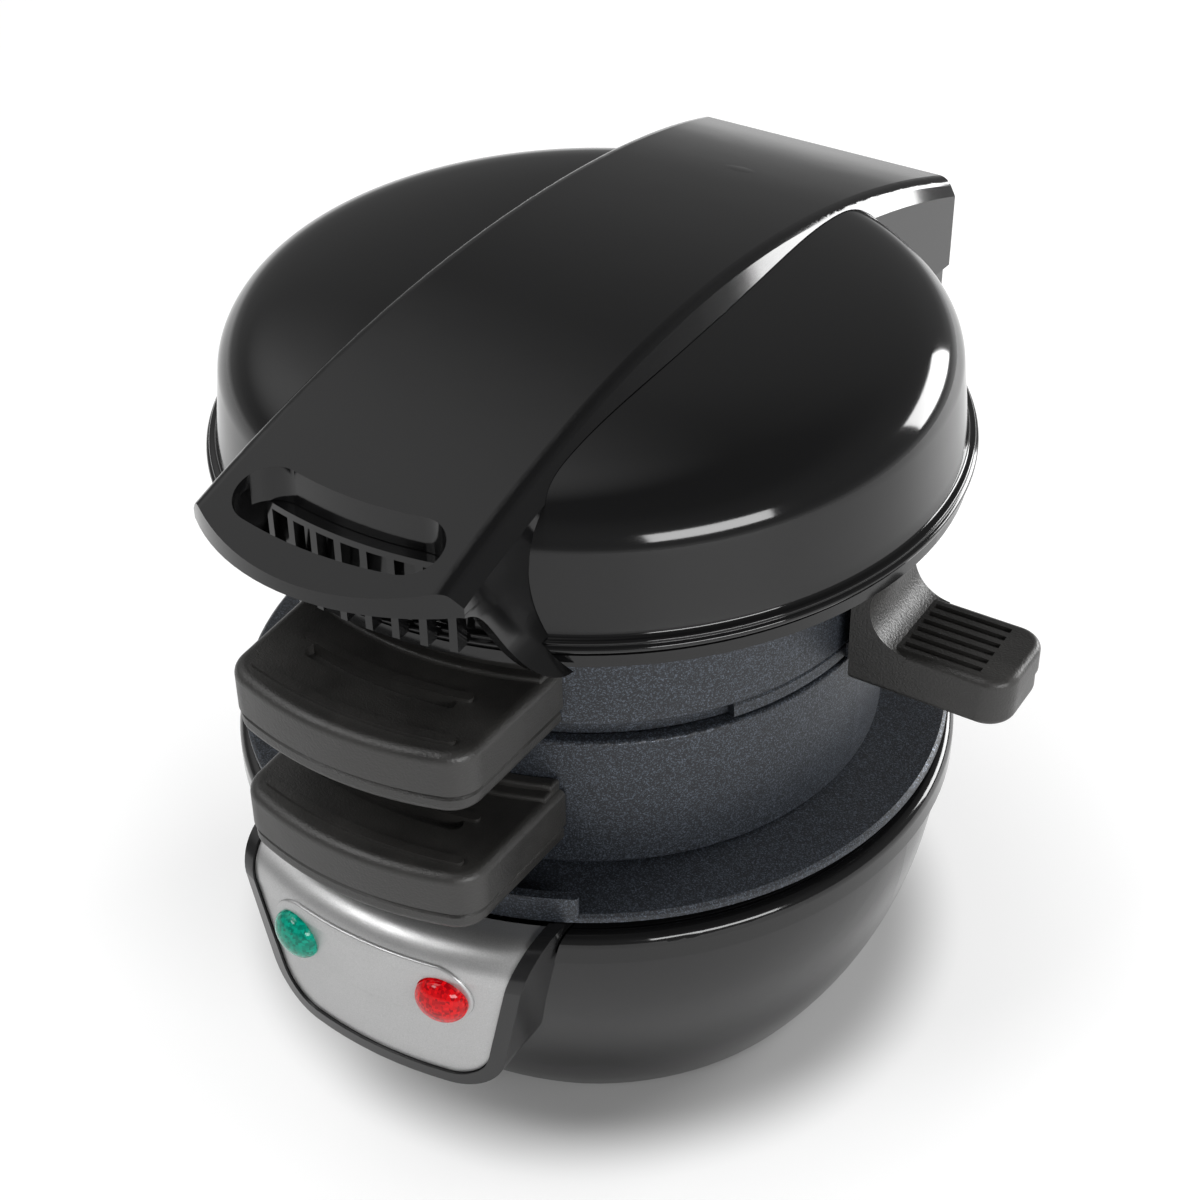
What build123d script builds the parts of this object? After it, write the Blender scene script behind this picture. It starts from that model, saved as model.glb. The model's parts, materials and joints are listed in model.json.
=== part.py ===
from build123d import *
from math import asin, atan2, cos, degrees, radians, sin, sqrt
import os

# Countertop breakfast sandwich maker: a heated base, a stack of two muffin rings with a
# swinging cooking plate between them, and a heated lid, all on one rear hinge pin.
# Millimetres and degrees. Z is up and the table is z = 0; the front handles point to -Y.
# The model is built about the axis of the rings and shifted to the middle of its box at the end.

# Clearances
seat_gap = 0.3  # between faces of different moving assemblies
part_gap = 0.15  # between pieces that are fixed together
pin_gap = 0.05  # radial running fit
knuckle_gap = 0.5  # between hinge knuckles, along the pin

# Muffin rings and cooking plate
ring_radius = 54.0
ring_wall = 3.0
ring_draft = 0.5
ring_edge_round = 0.6
lower_ring_height = 27.3
upper_ring_height = 21.6
cooking_plate_radius = 53.7
cooking_plate_thickness = 3.0
cooking_plate_recess = 2.0
recess_half_angle = 57.0

# Base housing
foot_radius = 51.2
foot_clearance = 0.8
bowl_radius = 66.0
bowl_height = 50.5
bowl_bulge = 0.73
bowl_wall = 2.5
arch_height = 1.9
arch_half_width = 24.0
rim_height = 4.5
rim_lip = 1.6
rim_inner_radius = bowl_radius - 4.5

# Lower heating plate
heat_plate_radius = bowl_radius + 0.1
heat_plate_stand = 2.7
heat_plate_skirt = 1.5
heat_plate_thickness = 3.0
dam_height = 3.8
dam_wall = 1.8
dam_half_angle = 29.0
plate_post_circle = 52.0
element_circle = 36.0
element_radius = 3.2

# Control panel pod at the front of the base
panel_half_top = 27.5
panel_half_bottom = 20.5
panel_height = 31.5
panel_corner = 8.0
panel_reach = 10.2  # panel face in front of the bowl's edge
panel_radius = bowl_radius + panel_reach
panel_lean = 2.2
panel_thickness = 1.2
panel_top_round = 6.5
panel_ledge_top = 57.2
panel_ledge_radius = heat_plate_radius + 0.7
surround = 2.6
surround_proud = 0.6
lens_radius = 4.2
lens_offset = 14.9
lens_height = 46.5
lens_dome = 1.6
pad_proud = 0.5  # raised pad round both lenses
pad_half_length = 20.6
pad_half_height = 6.6
lamp_radius = 2.6
lamp_length = 9.0

# Ring handles
handle_half_width = 24.6
handle_taper = 1.4
handle_length = 25.6  # from the ring wall to the front of its handle
handle_reach = ring_radius + handle_length
handle_front_radius = 62.0
handle_corner = 6.0
handle_top_thickness = 8.5
handle_base_thickness = 3.3
handle_edge_round = 1.7
handle_groove = 0.5  # bevel on both halves where they meet
shoulder_radius = ring_radius + 2.2
shoulder_height = 2.0
shoulder_step_radius = ring_radius + 4.2
shoulder_step_height = 0.8
lower_handle_parting = 9.1
ridge_width = 1.8
ridge_height = 0.7
front_ridge_radius = handle_reach - 4.6
finger_ridge_radius = front_ridge_radius - 10.5
finger_recess_width = 3.6
finger_recess_depth = 1.8
tongue_half_width = 14.0
tongue_reach = handle_reach - 8.6
tongue_thickness = 2.4
handle_screw_x = 9.0
handle_screw_y = ring_radius + 6.0

# Cooking plate handle, along +X
side_handle_length = 30.4  # from the ring wall to the nose of the side handle
side_handle_reach = ring_radius + side_handle_length
side_handle_half_width = 8.8
side_handle_root = ring_radius + 1.6
side_handle_top = 4.9
side_handle_bottom = 4.6
side_handle_round = 1.4
guard_height = 15.6
guard_thickness = 4.4
guard_sweep = 10.0
groove_count = 6
groove_pitch = 2.4
groove_width = 1.2
groove_depth = 0.8
groove_start = side_handle_reach - 20.0
groove_length = 14.0
side_tongue_half_width = 5.0
side_tongue_reach = side_handle_reach - 9.0
side_screw_x = side_handle_root + 12.4

# Rear hinge
hinge_y = 80.0
hinge_drop = 6.0  # pin axis below the top of the upper ring
pin_radius = 2.0
knuckle_radius = 5.5
lid_knuckle_radius = 6.2
tower_half_width = 21.0
cheek_width = 7.0
lid_arm_width = 6.1
lower_knuckle_left = -13.5
knuckle_split = -4.25
upper_knuckle_right = 13.5
lower_arm_width = 5.0
tower_front = 72.0
tower_rear = 86.3
tower_free_side = 8.0  # the tower keeps left of this where the cooking plate swings
swing_drop = 3.0  # room under the cooking plate where it passes the tower
swing_lift = 3.0  # room over the tilted cooking plate there
pivot_y = 62.0
pivot_radius = 2.5
eye_radius = 7.0
pivot_head_radius = 4.0
pivot_head_height = 1.8
pivot_boss_height = 7.0

# Lid
lid_gap = 0.4
lip_radius = 66.0
lip_height = 2.2
lip_groove_height = 0.8
lip_groove_depth = 0.8
flange_radius = 66.9
flange_height = 2.1
dome_base_radius = 65.1
dome_shoulder_radius = 63.4
dome_height = 25.5
dome_wall = 2.2
upper_plate_radius = 49.0
upper_plate_drop = 5.4
upper_plate_thickness = 2.5
upper_element_circle = 34.0
lid_screw_circle = 60.0

# Strap handle over the lid
strap_rise = 3.3
strap_arc_radius = 265.0
strap_arc_centre_y = -3.0
strap_half_top = 21.6
strap_half_side = 25.0
strap_shoulder_drop = 3.6
strap_skin_depth = 1.3
strap_wall = 2.2
strap_front = 84.4
strap_tip_corner_y = 77.1
strap_edge_round = 2.8
strap_rear_spread = 4.5
strap_rear_side_spread = 3.2
strap_front_spread = 1.3
strap_tip_lower = 15.3
swoop_start_y = 76.0
swoop_middle_y = 68.5
swoop_middle_rise = 10.3  # above the lid's underside
swoop_end_y = 58.0
flare_top = 19.0
flare_width = 7.6
slot_radius = 73.0
slot_width = 11.0
slot_half_length = 18.5
slot_collar_wall = 1.1
slot_collar_depth = 4.6
rib_pitch = 4.8
rib_thickness = 1.3
rib_count = 8
rib_depth = 2.4
rib_bar_height = 1.2

# Fasteners and feet
screw_radius = 1.6
screw_head_radius = 3.0
screw_head_height = 1.8
thread_gap = 0.05
rubber_foot_radius = 5.5
rubber_stem_radius = 2.0
cover_thickness = 2.0
cover_radius = 48.2
foot_circle = 41.0
cord_hole_radius = 4.0
cord_hole_height = 17.0
cord_hole_angle = 120.0

# Heights that follow from the stack
rim_top = bowl_height + rim_height
heat_plate_top = rim_top + heat_plate_stand + heat_plate_skirt
heat_plate_under = heat_plate_top - heat_plate_thickness
lower_ring_bottom = heat_plate_top + seat_gap
lower_ring_top = lower_ring_bottom + lower_ring_height
cooking_plate_bottom = lower_ring_top + seat_gap
cooking_plate_top = cooking_plate_bottom + cooking_plate_thickness
upper_ring_bottom = cooking_plate_top + seat_gap
upper_ring_top = upper_ring_bottom + upper_ring_height
handle_pitch = upper_ring_bottom - lower_ring_bottom - lower_handle_parting + 3.6
hinge_z = upper_ring_top - hinge_drop
lid_bottom = upper_ring_top + lid_gap
lip_top = lid_bottom + lip_height
flange_bottom = lip_top + lip_groove_height
flange_top = flange_bottom + flange_height
dome_top = flange_top + dome_height
strap_top = dome_top + strap_rise
ring_inner_radius = ring_radius - ring_wall
panel_bottom = panel_ledge_top - panel_height
FRONT = 270.0  # direction of -Y, counted from +X


# ---- Shapes used by several pieces ----


def post(radius, bottom, top, x=0.0, y=0.0):
    """Upright cylinder between two heights."""
    return Pos(x, y, (bottom + top) / 2) * Cylinder(radius, top - bottom)


def block(x_range, y_range, z_range):
    """Box given by its limits."""
    sizes = [high - low for low, high in (x_range, y_range, z_range)]
    middle = [(low + high) / 2 for low, high in (x_range, y_range, z_range)]
    return Pos(*middle) * Box(*sizes)


def turned(*points):
    """Solid turned about the axis from straight (radius, height) runs."""
    return revolve(Plane.XZ * make_face(Polyline(*points, close=True)), Axis.Z)


def turned_edges(edges):
    """Solid turned about the axis from a closed loop of edges drawn as (radius, height)."""
    return revolve(Plane.XZ * make_face(edges), Axis.Z)


def side_bar(face, x_low, x_high):
    """Side outline, drawn as (y, z), made solid between two x values."""
    return Pos(x_low, 0, 0) * extrude(Plane.YZ * face, amount=x_high - x_low)


def front_bar(face, y_low, y_high):
    """Front outline, drawn as (x, z), made solid between two y values."""
    return Pos(0, y_high, 0) * extrude(Plane.XZ * face, amount=y_high - y_low)


def spun(shape, angle):
    """Shape turned about the upright axis."""
    return Rot(0, 0, angle) * shape


def quarter_angles(start=45.0):
    """The four directions of a square pattern."""
    return [start + 90.0 * step for step in range(4)]


def sector(inner, outer, half_angle, bottom, top):
    """Arched bar centred on the front, between two radii."""
    ring = post(outer, bottom, top) - post(inner, bottom, top)
    far = 2.0 * outer
    edge = (far * sin(radians(half_angle)), -far * cos(radians(half_angle)))
    wedge = make_face(Polyline((0, 0), edge, (0, -2 * far), (-edge[0], edge[1]), close=True))
    return ring & (Pos(0, 0, bottom) * extrude(wedge, amount=top - bottom))


def screw(length):
    """Pan-head screw on the local axis; the head seat is at z = 0 and the shank rises."""
    head = post(screw_head_radius, -screw_head_height, 0)
    head = fillet(head.edges().sort_by(Axis.Z)[0], 0.6)
    slot = block((-2.2, 2.2), (-0.4, 0.4), (-screw_head_height, -screw_head_height + 0.8))
    return head + post(screw_radius, 0, length) - slot


def screw_bore(depth):
    """Pilot bore for a screw, rising from z = 0."""
    return post(screw_radius + thread_gap, -0.01, depth)


# ---- Base ----


def bowl_solid(shrink):
    """Turned body of the bowl, made smaller by a wall."""
    low = (foot_radius - shrink, foot_clearance)
    high = (bowl_radius - shrink, bowl_height)
    middle_radius = low[0] + bowl_bulge * (high[0] - low[0])
    middle = (middle_radius, foot_clearance + 0.46 * (bowl_height - foot_clearance))
    wall = ThreePointArc(low, middle, high)
    inner = Polyline(high, (0, bowl_height), (0, foot_clearance), low)
    return turned_edges([wall, inner])


def panel_outline(grow):
    """Front outline of the panel, as (x, z), widened all round by a margin."""
    top = panel_ledge_top + surround_proud + 1.0
    bottom = panel_bottom - grow
    slope = (panel_half_top - panel_half_bottom) / panel_height
    high = panel_half_top + grow + slope * (top - panel_ledge_top)
    low = panel_half_bottom + grow
    face = make_face(Polyline((-low, bottom), (low, bottom), (high, top), (-high, top), close=True))
    return fillet(face.vertices().sort_by(Axis.Y)[:2], panel_corner + grow)


def pod_profile(grow):
    """Turned body whose skin is the panel face, offset outward by a margin."""
    face_top = (panel_radius + grow, panel_ledge_top - panel_top_round)
    ledge = (panel_radius - panel_top_round, panel_ledge_top + grow)
    foot = (panel_radius - panel_lean + grow, panel_bottom - surround)
    side = Line(foot, face_top)
    curl = TangentArc(face_top, ledge, tangent=(0, 1))
    back = panel_ledge_radius - part_gap
    rest = Polyline(
        ledge,
        (back, ledge[1]),
        (back, rim_top),
        (rim_inner_radius, rim_top),
        (rim_inner_radius, bowl_height - 1),
        (foot_radius - 6, foot[1]),
        foot,
    )
    return turned_edges([side, curl, rest])


def pod_solid(grow_outline, grow_skin):
    """The pod: the front outline carried back and bounded by the turned skin."""
    reach = panel_radius + 10
    return front_bar(panel_outline(grow_outline), -reach, -40) & pod_profile(grow_skin)


def tower_outline():
    """Side outline of the rear hinge tower, as (y, z)."""
    top = hinge_z - knuckle_radius - 0.7
    back = Spline((56, 14), (75, 34), (tower_rear, 60), tangents=((1, 0.6), (0, 1)))
    rest = Polyline(
        (tower_rear, 60),
        (tower_rear, top),
        (tower_front + 4.5, top),
        (tower_front, top - 5),
        (tower_front, bowl_height + 4),
        (tower_front - 4, bowl_height),
        (56, bowl_height),
        (56, 14),
    )
    return make_face([back, rest])


def tower():
    """Rear hinge tower, cut away on the side where the cooking plate swings."""
    half = tower_half_width
    column = side_bar(tower_outline(), -half, half)
    low = cooking_plate_bottom - swing_drop
    high = cooking_plate_top + swing_lift
    face = make_face(
        Polyline(
            (tower_free_side, low),
            (half + 1, low - 6),
            (half + 1, high),
            (tower_free_side, high),
            close=True,
        )
    )
    column -= front_bar(face, tower_front - 20, tower_rear + 1)
    cheek_side = make_face(
        Polyline(
            (hinge_y - knuckle_radius, hinge_z),
            (hinge_y + knuckle_radius, hinge_z),
            (tower_rear, hinge_z - knuckle_radius - 2),
            (tower_rear - 10.5, hinge_z - knuckle_radius - 2),
            close=True,
        )
    )
    for left in (-half, half - cheek_width):
        column += side_bar(cheek_side, left, left + cheek_width)
        column += knuckle(left, left + cheek_width, knuckle_radius)
    return column - pin_bore()


def knuckle(left, right, radius):
    """Hinge knuckle between two x values."""
    return Pos((left + right) / 2, hinge_y, hinge_z) * Rot(0, 90, 0) * Cylinder(radius, right - left)


def pin_bore():
    """Running bore for the hinge pin."""
    return knuckle(-40, 40, pin_radius + pin_gap)


def lens_place(side):
    """Location of a lens: the local +Z axis points straight out of the panel."""
    angle = degrees(asin(lens_offset / panel_radius))
    lean = degrees(atan2(panel_lean, panel_height + surround - panel_top_round))
    face = panel_face_at(lens_height) + pad_proud
    place = Pos(0, -face, lens_height) * Rot(90 + lean, 0, 0)
    return Rot(0, 0, side * angle) * place


def panel_face_at(height):
    """Radius of the panel face at a height."""
    top = panel_ledge_top - panel_top_round
    bottom = panel_bottom - surround
    return panel_radius - panel_lean * max(0.0, top - height) / (top - bottom)


def lens_holes(radius):
    """Two cylinders along the lens axes."""
    return [lens_place(side) * Pos(0, 0, -6) * Cylinder(radius, 20) for side in (-1, 1)]


def base_shell():
    """Bowl, panel pod and hinge tower in one moulding."""
    inside = bowl_solid(bowl_wall) - post(foot_radius + 9, -1, 3.0 + foot_clearance)
    pod = pod_solid(surround, surround_proud)
    shell = bowl_solid(0) + pod + tower()
    shell -= inside
    shell -= pod_solid(surround - bowl_wall, -panel_thickness - part_gap - 2.0) - post(40, 0, 100)
    shell -= pod_solid(part_gap, surround_proud + 5) - pod_solid(part_gap + 1, -panel_thickness - part_gap)
    shell -= post(cover_radius + part_gap, -1, 3.0 + foot_clearance)
    for hole in lens_holes(lens_radius - 0.6):
        shell -= hole
    for angle in quarter_angles(0.0):
        shell -= spun(foot_arch(), angle)
        shell += spun(cover_boss(), angle)
    for angle in quarter_angles():
        shell += spun(plate_shelf(), angle)
    shell -= cord_hole()
    return shell


def foot_arch():
    """Shallow arch in the lower edge of the bowl, on the +X side."""
    drop = arch_height
    radius = (arch_half_width**2 + drop**2) / (2 * drop)
    arch = Pos(60, 0, foot_clearance + drop - radius) * Rot(0, 90, 0) * Cylinder(radius, 40)
    return arch & block((30, 90), (-40, 40), (-10, foot_clearance + drop))


def cover_boss():
    """Boss and web inside the bowl for one bottom-cover screw, on the +X side."""
    floor = 3.0 + foot_clearance
    boss = post(3.6, floor, floor + 12, 44)
    web = block((44, 58), (-1.2, 1.2), (floor, floor + 10))
    web &= bowl_solid(bowl_wall / 2)
    return boss + web - post(screw_radius + thread_gap, floor - 1, floor + 10, 44)


def plate_shelf():
    """Shelf inside the bowl that carries one post of the heating plate, on the +X side."""
    top = plate_shelf_top()
    shelf = block((plate_post_circle - 5, 70), (-6, 6), (top - 4, top)) & bowl_solid(bowl_wall / 2)
    return shelf - post(screw_radius + 0.2, top - 10, top + 1, plate_post_circle)


def plate_shelf_top():
    """Height of the shelves that carry the heating plate."""
    return bowl_height - 7.0


def cord_hole():
    """Round cord inlet through the rear wall."""
    hole = Pos(foot_radius + 8, 0, cord_hole_height) * Rot(0, 90, 0)
    return spun(hole * Cylinder(cord_hole_radius, 24), cord_hole_angle)


def base_rim():
    """Glossy trim ring on the bowl, open at the front where the pod stands."""
    outer = bowl_radius + rim_lip
    top = rim_top
    edge = outer - 3.1
    round_start = (outer, top - 2.1)
    curve = TangentArc(round_start, (edge, top), tangent=(0, 1))
    rest = Polyline(
        (edge, top),
        (rim_inner_radius, top),
        (rim_inner_radius, bowl_height + part_gap),
        (bowl_radius + part_gap, bowl_height + part_gap),
        (bowl_radius + part_gap, bowl_height - 1),
        (outer, bowl_height - 1),
        round_start,
    )
    ring = turned_edges([curve, rest])
    ring -= front_bar(panel_outline(surround + 0.4), -100, -30)
    rear = tower_half_width + 2 * part_gap
    return ring - block((-rear, rear), (40, 100), (0, bowl_height + part_gap))


def lower_heat_plate():
    """Cast heating plate with a front dam, posts below and a channel for the element."""
    top = heat_plate_top
    under = heat_plate_under
    radius = heat_plate_radius
    plate = turned(
        (0, under),
        (radius - 3, under),
        (radius - 3, top - heat_plate_skirt),
        (radius, top - heat_plate_skirt),
        (radius, top - 0.5),
        (radius - 0.6, top),
        (0, top),
    )
    dam = sector(radius - dam_wall, radius, dam_half_angle, top - 1, top + dam_height)
    plate += fillet(dam.edges().filter_by(Axis.Z), 0.7)
    channel_half = element_radius + 1.8
    plate += post(element_circle + channel_half, under - 5, under + 1)
    plate -= post(element_circle - channel_half, under - 6, under)
    plate -= Pos(0, 0, element_height()) * Torus(element_circle, element_radius + part_gap)
    gap = element_radius + part_gap
    plate -= post(element_circle + gap, under - 6, element_height()) - post(
        element_circle - gap, under - 7, element_height() + 1
    )
    for angle in quarter_angles():
        boss = post(3.8, plate_shelf_top(), under + 1, plate_post_circle)
        boss -= post(screw_radius + thread_gap, plate_shelf_top() - 1, under - 1, plate_post_circle)
        plate += spun(boss, angle)
        plate -= spun(post(screw_radius + thread_gap, 0, under - 1, plate_post_circle), angle)
    return plate


def element_height():
    """Height of the axis of the lower heating element."""
    return heat_plate_under - element_radius - part_gap + 1.0


def lower_element():
    """Sheathed heater: an open ring with both ends turned down."""
    return heating_element(element_circle, element_height(), -1)


def heating_element(circle, height, ends):
    """Open ring of heater tube with two straight ends, down for -1 and up for 1."""
    tube = Torus(circle, element_radius)
    tube -= Rot(0, 0, 90) * block((0, 2 * circle), (-circle * 0.28, circle * 0.28), (-9, 9))
    tube = Pos(0, 0, height) * tube
    for side in (-1, 1):
        x = side * circle * 0.28
        y = sqrt(circle**2 - x**2)
        tube += Pos(x, y, height) * Sphere(element_radius)
        low, high = sorted((height, height + ends * 9))
        tube += post(element_radius * 0.7, low, high, x, y)
    return tube


def lower_reflector():
    """Pressed dish below the element."""
    top = element_height() - element_radius - part_gap
    dish = post(46, top - 0.8, top) - post(9.5, top - 2, top + 2)
    dish += post(46, top - 0.8, heat_plate_under - part_gap) - post(45.2, top - 2, top + 20)
    for side in (-1, 1):
        x = side * element_circle * 0.28
        dish -= post(4, top - 5, top + 5, x, sqrt(element_circle**2 - x**2))
    return dish


def thermostat():
    """Disc thermostat against the middle of the lower heating plate."""
    top = heat_plate_under - part_gap
    body = post(8, top - 7, top) + post(5, top - 11, top - 6)
    for side in (-1, 1):
        body += block((side * 3 - 0.4, side * 3 + 0.4), (-2.5, 2.5), (top - 17, top - 10))
    return body


def lower_thermal_fuse():
    """Thermal cut-out clipped below the plate."""
    return thermal_fuse(Pos(17, 0, heat_plate_under - part_gap - 1.9))


def thermal_fuse(place):
    """Small cylinder with a lead at each end, lying along Y."""
    tube = Rot(90, 0, 0) * Cylinder(1.9, 11)
    leads = Rot(90, 0, 0) * Cylinder(0.5, 20)
    return place * (tube + leads)


def plate_screws():
    """Four screws from the shelves into the heating plate."""
    start = plate_shelf_top() - 4 - part_gap
    return pattern_of_screws(plate_post_circle, start, 13, quarter_angles())


def pattern_of_screws(circle, start, length, angles):
    """Separate screws around the axis, heads down."""
    return [spun(Pos(circle, 0, start) * screw(length), angle) for angle in angles]


def control_panel():
    """Thin silver panel that curls over the top of the pod."""
    skin = pod_solid(0, 0) + lens_pad() - pod_solid(1, -panel_thickness)
    skin -= post(panel_ledge_radius, 0, 100)
    skin -= block((-60, 60), (-90, -30), (panel_ledge_top + 0.01, 100))
    for hole in lens_holes(lens_radius + part_gap):
        skin -= hole
    return skin


def lens_pad():
    """Raised racetrack on the panel face round both lenses."""
    outline = Pos(0, lens_height) * SlotOverall(2 * pad_half_length, 2 * pad_half_height)
    bar = front_bar(outline, -panel_radius - 5, -panel_ledge_radius)
    pad = bar & pod_profile(pad_proud)
    return fillet(pad.faces().sort_by(Axis.Y)[0].edges(), 0.8 * pad_proud)


def lens(side):
    """Domed lens with a flange behind the panel and a tube for its lamp."""
    dome_radius = (lens_radius**2 + lens_dome**2) / (2 * lens_dome)
    dome = Pos(0, 0, lens_dome - dome_radius) * Sphere(dome_radius) & post(lens_radius, 0, 10)
    flange_low = -panel_thickness - pad_proud - part_gap + 0.05
    body = post(lens_radius, flange_low, 0.0) + dome
    tube_outer = lens_radius - 0.6 - part_gap
    body += post(tube_outer, -7, 0)
    body -= post(lamp_radius + part_gap, -8, -1.5)
    return lens_place(side) * body


def indicator_lamps():
    """One small lamp in the tube behind each lens."""
    lamp = post(lamp_radius, -1.8 - lamp_length, -1.8)
    lamp += post(0.5, -1.8 - lamp_length - 4, -1.8 - lamp_length, 1.2)
    lamp += post(0.5, -1.8 - lamp_length - 4, -1.8 - lamp_length, -1.2)
    return [lens_place(side) * lamp for side in (-1, 1)]


def bottom_cover():
    """Round cover with vent slots, set into the foot of the bowl."""
    top = 3.0 + foot_clearance - part_gap
    bottom = top - cover_thickness
    cover = post(cover_radius, bottom, top)
    for angle in quarter_angles(0.0):
        cover -= spun(post(screw_radius + 0.2, 0, 10, 44), angle)
    for angle in quarter_angles():
        cover -= spun(post(rubber_stem_radius + pin_gap, 0, 10, foot_circle), angle)
    for step in range(-3, 4):
        slot = block((-13, 13), (step * 6 - 1.2, step * 6 + 1.2), (0, 10))
        cover -= slot
    return cover


def cover_screws():
    """Four screws that hold the bottom cover."""
    start = 3.0 + foot_clearance - part_gap - cover_thickness - part_gap
    return pattern_of_screws(44, start, 10, quarter_angles(0.0))


def rubber_feet():
    """Four feet plugged into the bottom cover."""
    cover_bottom = 3.0 + foot_clearance - part_gap - cover_thickness
    foot = post(rubber_foot_radius, 0, cover_bottom - 0.05, foot_circle)
    foot = chamfer(foot.edges().sort_by(Axis.Z)[0], 0.5)
    foot += post(rubber_stem_radius, 0.5, cover_bottom + cover_thickness + 1.5, foot_circle)
    return [spun(foot, angle) for angle in quarter_angles()]


def terminal_block():
    """Screw terminal block on the bottom cover, behind the middle."""
    bottom = 3.0 + foot_clearance
    body = block((-14, 14), (20, 32), (bottom, bottom + 9))
    for step in (-1, 0, 1):
        body -= post(2.4, bottom + 5, bottom + 10, step * 9, 26)
        body += post(1.9, bottom + 4, bottom + 7.5, step * 9, 26)
    return body


def hinge_pin():
    """Steel pin through every knuckle, with a small head at each end."""
    reach = tower_half_width + knuckle_gap + lid_arm_width
    pin = knuckle(-reach - 0.6, reach + 0.6, pin_radius)
    for side in (-1, 1):
        low, high = sorted((side * (reach + 0.2), side * (reach + 1.2)))
        pin += knuckle(low, high, pin_radius + 1.2)
    return pin


# ---- Rings ----


def ring_tube(bottom, top, draft):
    """Tapered muffin ring with rounded edges."""
    tube = turned(
        (ring_inner_radius - draft, bottom),
        (ring_radius - draft, bottom),
        (ring_radius, top),
        (ring_inner_radius, top),
    )
    return fillet(tube.edges().filter_by(GeomType.CIRCLE), ring_edge_round)


def ring_tongue(parting):
    """Front tongue that carries the plastic handle."""
    face = Pos(0, -tongue_reach / 2) * Rectangle(2 * tongue_half_width, tongue_reach)
    face = fillet(face.vertices().sort_by(Axis.Y)[:2], 4)
    tongue = Pos(0, 0, parting) * extrude(face, amount=tongue_thickness)
    tongue -= post(ring_inner_radius + 1, 0, 200)
    for side in (-1, 1):
        x = side * handle_screw_x
        tongue -= post(screw_radius + 0.2, 0, 200, x, -handle_screw_y)
    return tongue


def arm_lower_edge():
    """Two points of the underside of both ring arms, above the tower, as (y, z)."""
    return (66, upper_ring_bottom), (hinge_y - 3.6, hinge_z - 4.1)


def lower_ring():
    """Lower muffin ring with its front tongue and its hinge arm."""
    ring = ring_tube(lower_ring_bottom, lower_ring_top, ring_draft)
    ring += ring_tongue(lower_ring_bottom + lower_handle_parting)
    under, near_knuckle = arm_lower_edge()
    arm = make_face(
        Polyline(
            (48, lower_ring_top - 15),
            (56, lower_ring_top - 15),
            (under[0], under[1] - 2),
            near_knuckle,
            (hinge_y, hinge_z),
            (hinge_y - 4.4, hinge_z + 3.3),
            (ring_radius + 0.8, cooking_plate_top + 2),
            (ring_radius + 0.8, lower_ring_top - 0.4),
            (48, lower_ring_top - 0.4),
            close=True,
        )
    )
    ring += side_bar(arm, lower_knuckle_left, lower_knuckle_left + lower_arm_width)
    ring += knuckle(lower_knuckle_left, knuckle_split - knuckle_gap / 2, knuckle_radius)
    return ring - post(ring_inner_radius - ring_draft / 2, 0, 200) - pin_bore()


def upper_ring():
    """Upper muffin ring with its front tongue, pivot boss and hinge arm."""
    ring = ring_tube(upper_ring_bottom, upper_ring_top, 0.0)
    ring += ring_tongue(lower_ring_bottom + lower_handle_parting + handle_pitch)
    under, near_knuckle = arm_lower_edge()
    arm = make_face(
        Polyline(
            (48, under[1]),
            under,
            near_knuckle,
            (hinge_y, hinge_z),
            (hinge_y - 3, hinge_z + 4.5),
            (ring_radius, upper_ring_top - 7),
            (48, upper_ring_top - 7),
            close=True,
        )
    )
    ring += side_bar(arm, knuckle_split + knuckle_gap / 2, upper_knuckle_right)
    ring += knuckle(knuckle_split + knuckle_gap / 2, upper_knuckle_right, knuckle_radius)
    boss = post(eye_radius, upper_ring_bottom, upper_ring_bottom + pivot_boss_height, 0, pivot_y)
    boss += block(
        (-eye_radius, eye_radius),
        (48, pivot_y),
        (upper_ring_bottom, upper_ring_bottom + pivot_boss_height),
    )
    ring += boss
    ring -= post(pivot_radius + pin_gap, 0, upper_ring_bottom + pivot_boss_height - 1.5, 0, pivot_y)
    return ring - post(ring_inner_radius, 0, 200) - pin_bore()


def plate_pivot_pin():
    """Shouldered pin under the upper ring on which the cooking plate swings."""
    head_top = cooking_plate_bottom - 0.2
    pin = post(
        pivot_radius, head_top - 0.5, upper_ring_bottom + pivot_boss_height - 1.6, 0, pivot_y
    )
    return pin + post(pivot_head_radius, head_top - pivot_head_height, head_top, 0, pivot_y)


def handle_outline(inset):
    """Plan of a ring handle, drawn as (x, y), made smaller by an inset."""
    half_rear = handle_half_width - inset
    half_front = handle_half_width - handle_taper - inset
    front = handle_reach - inset
    sag = handle_front_radius - sqrt(handle_front_radius**2 - half_front**2)
    corner = front - sag
    edge = ThreePointArc((half_front, -corner), (0, -front), (-half_front, -corner))
    rest = Polyline((-half_front, -corner), (-half_rear, -30), (half_rear, -30), (half_front, -corner))
    face = make_face([edge, rest])
    return fillet(face.vertices().sort_by(Axis.Y)[:2], handle_corner - inset / 2)


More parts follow.
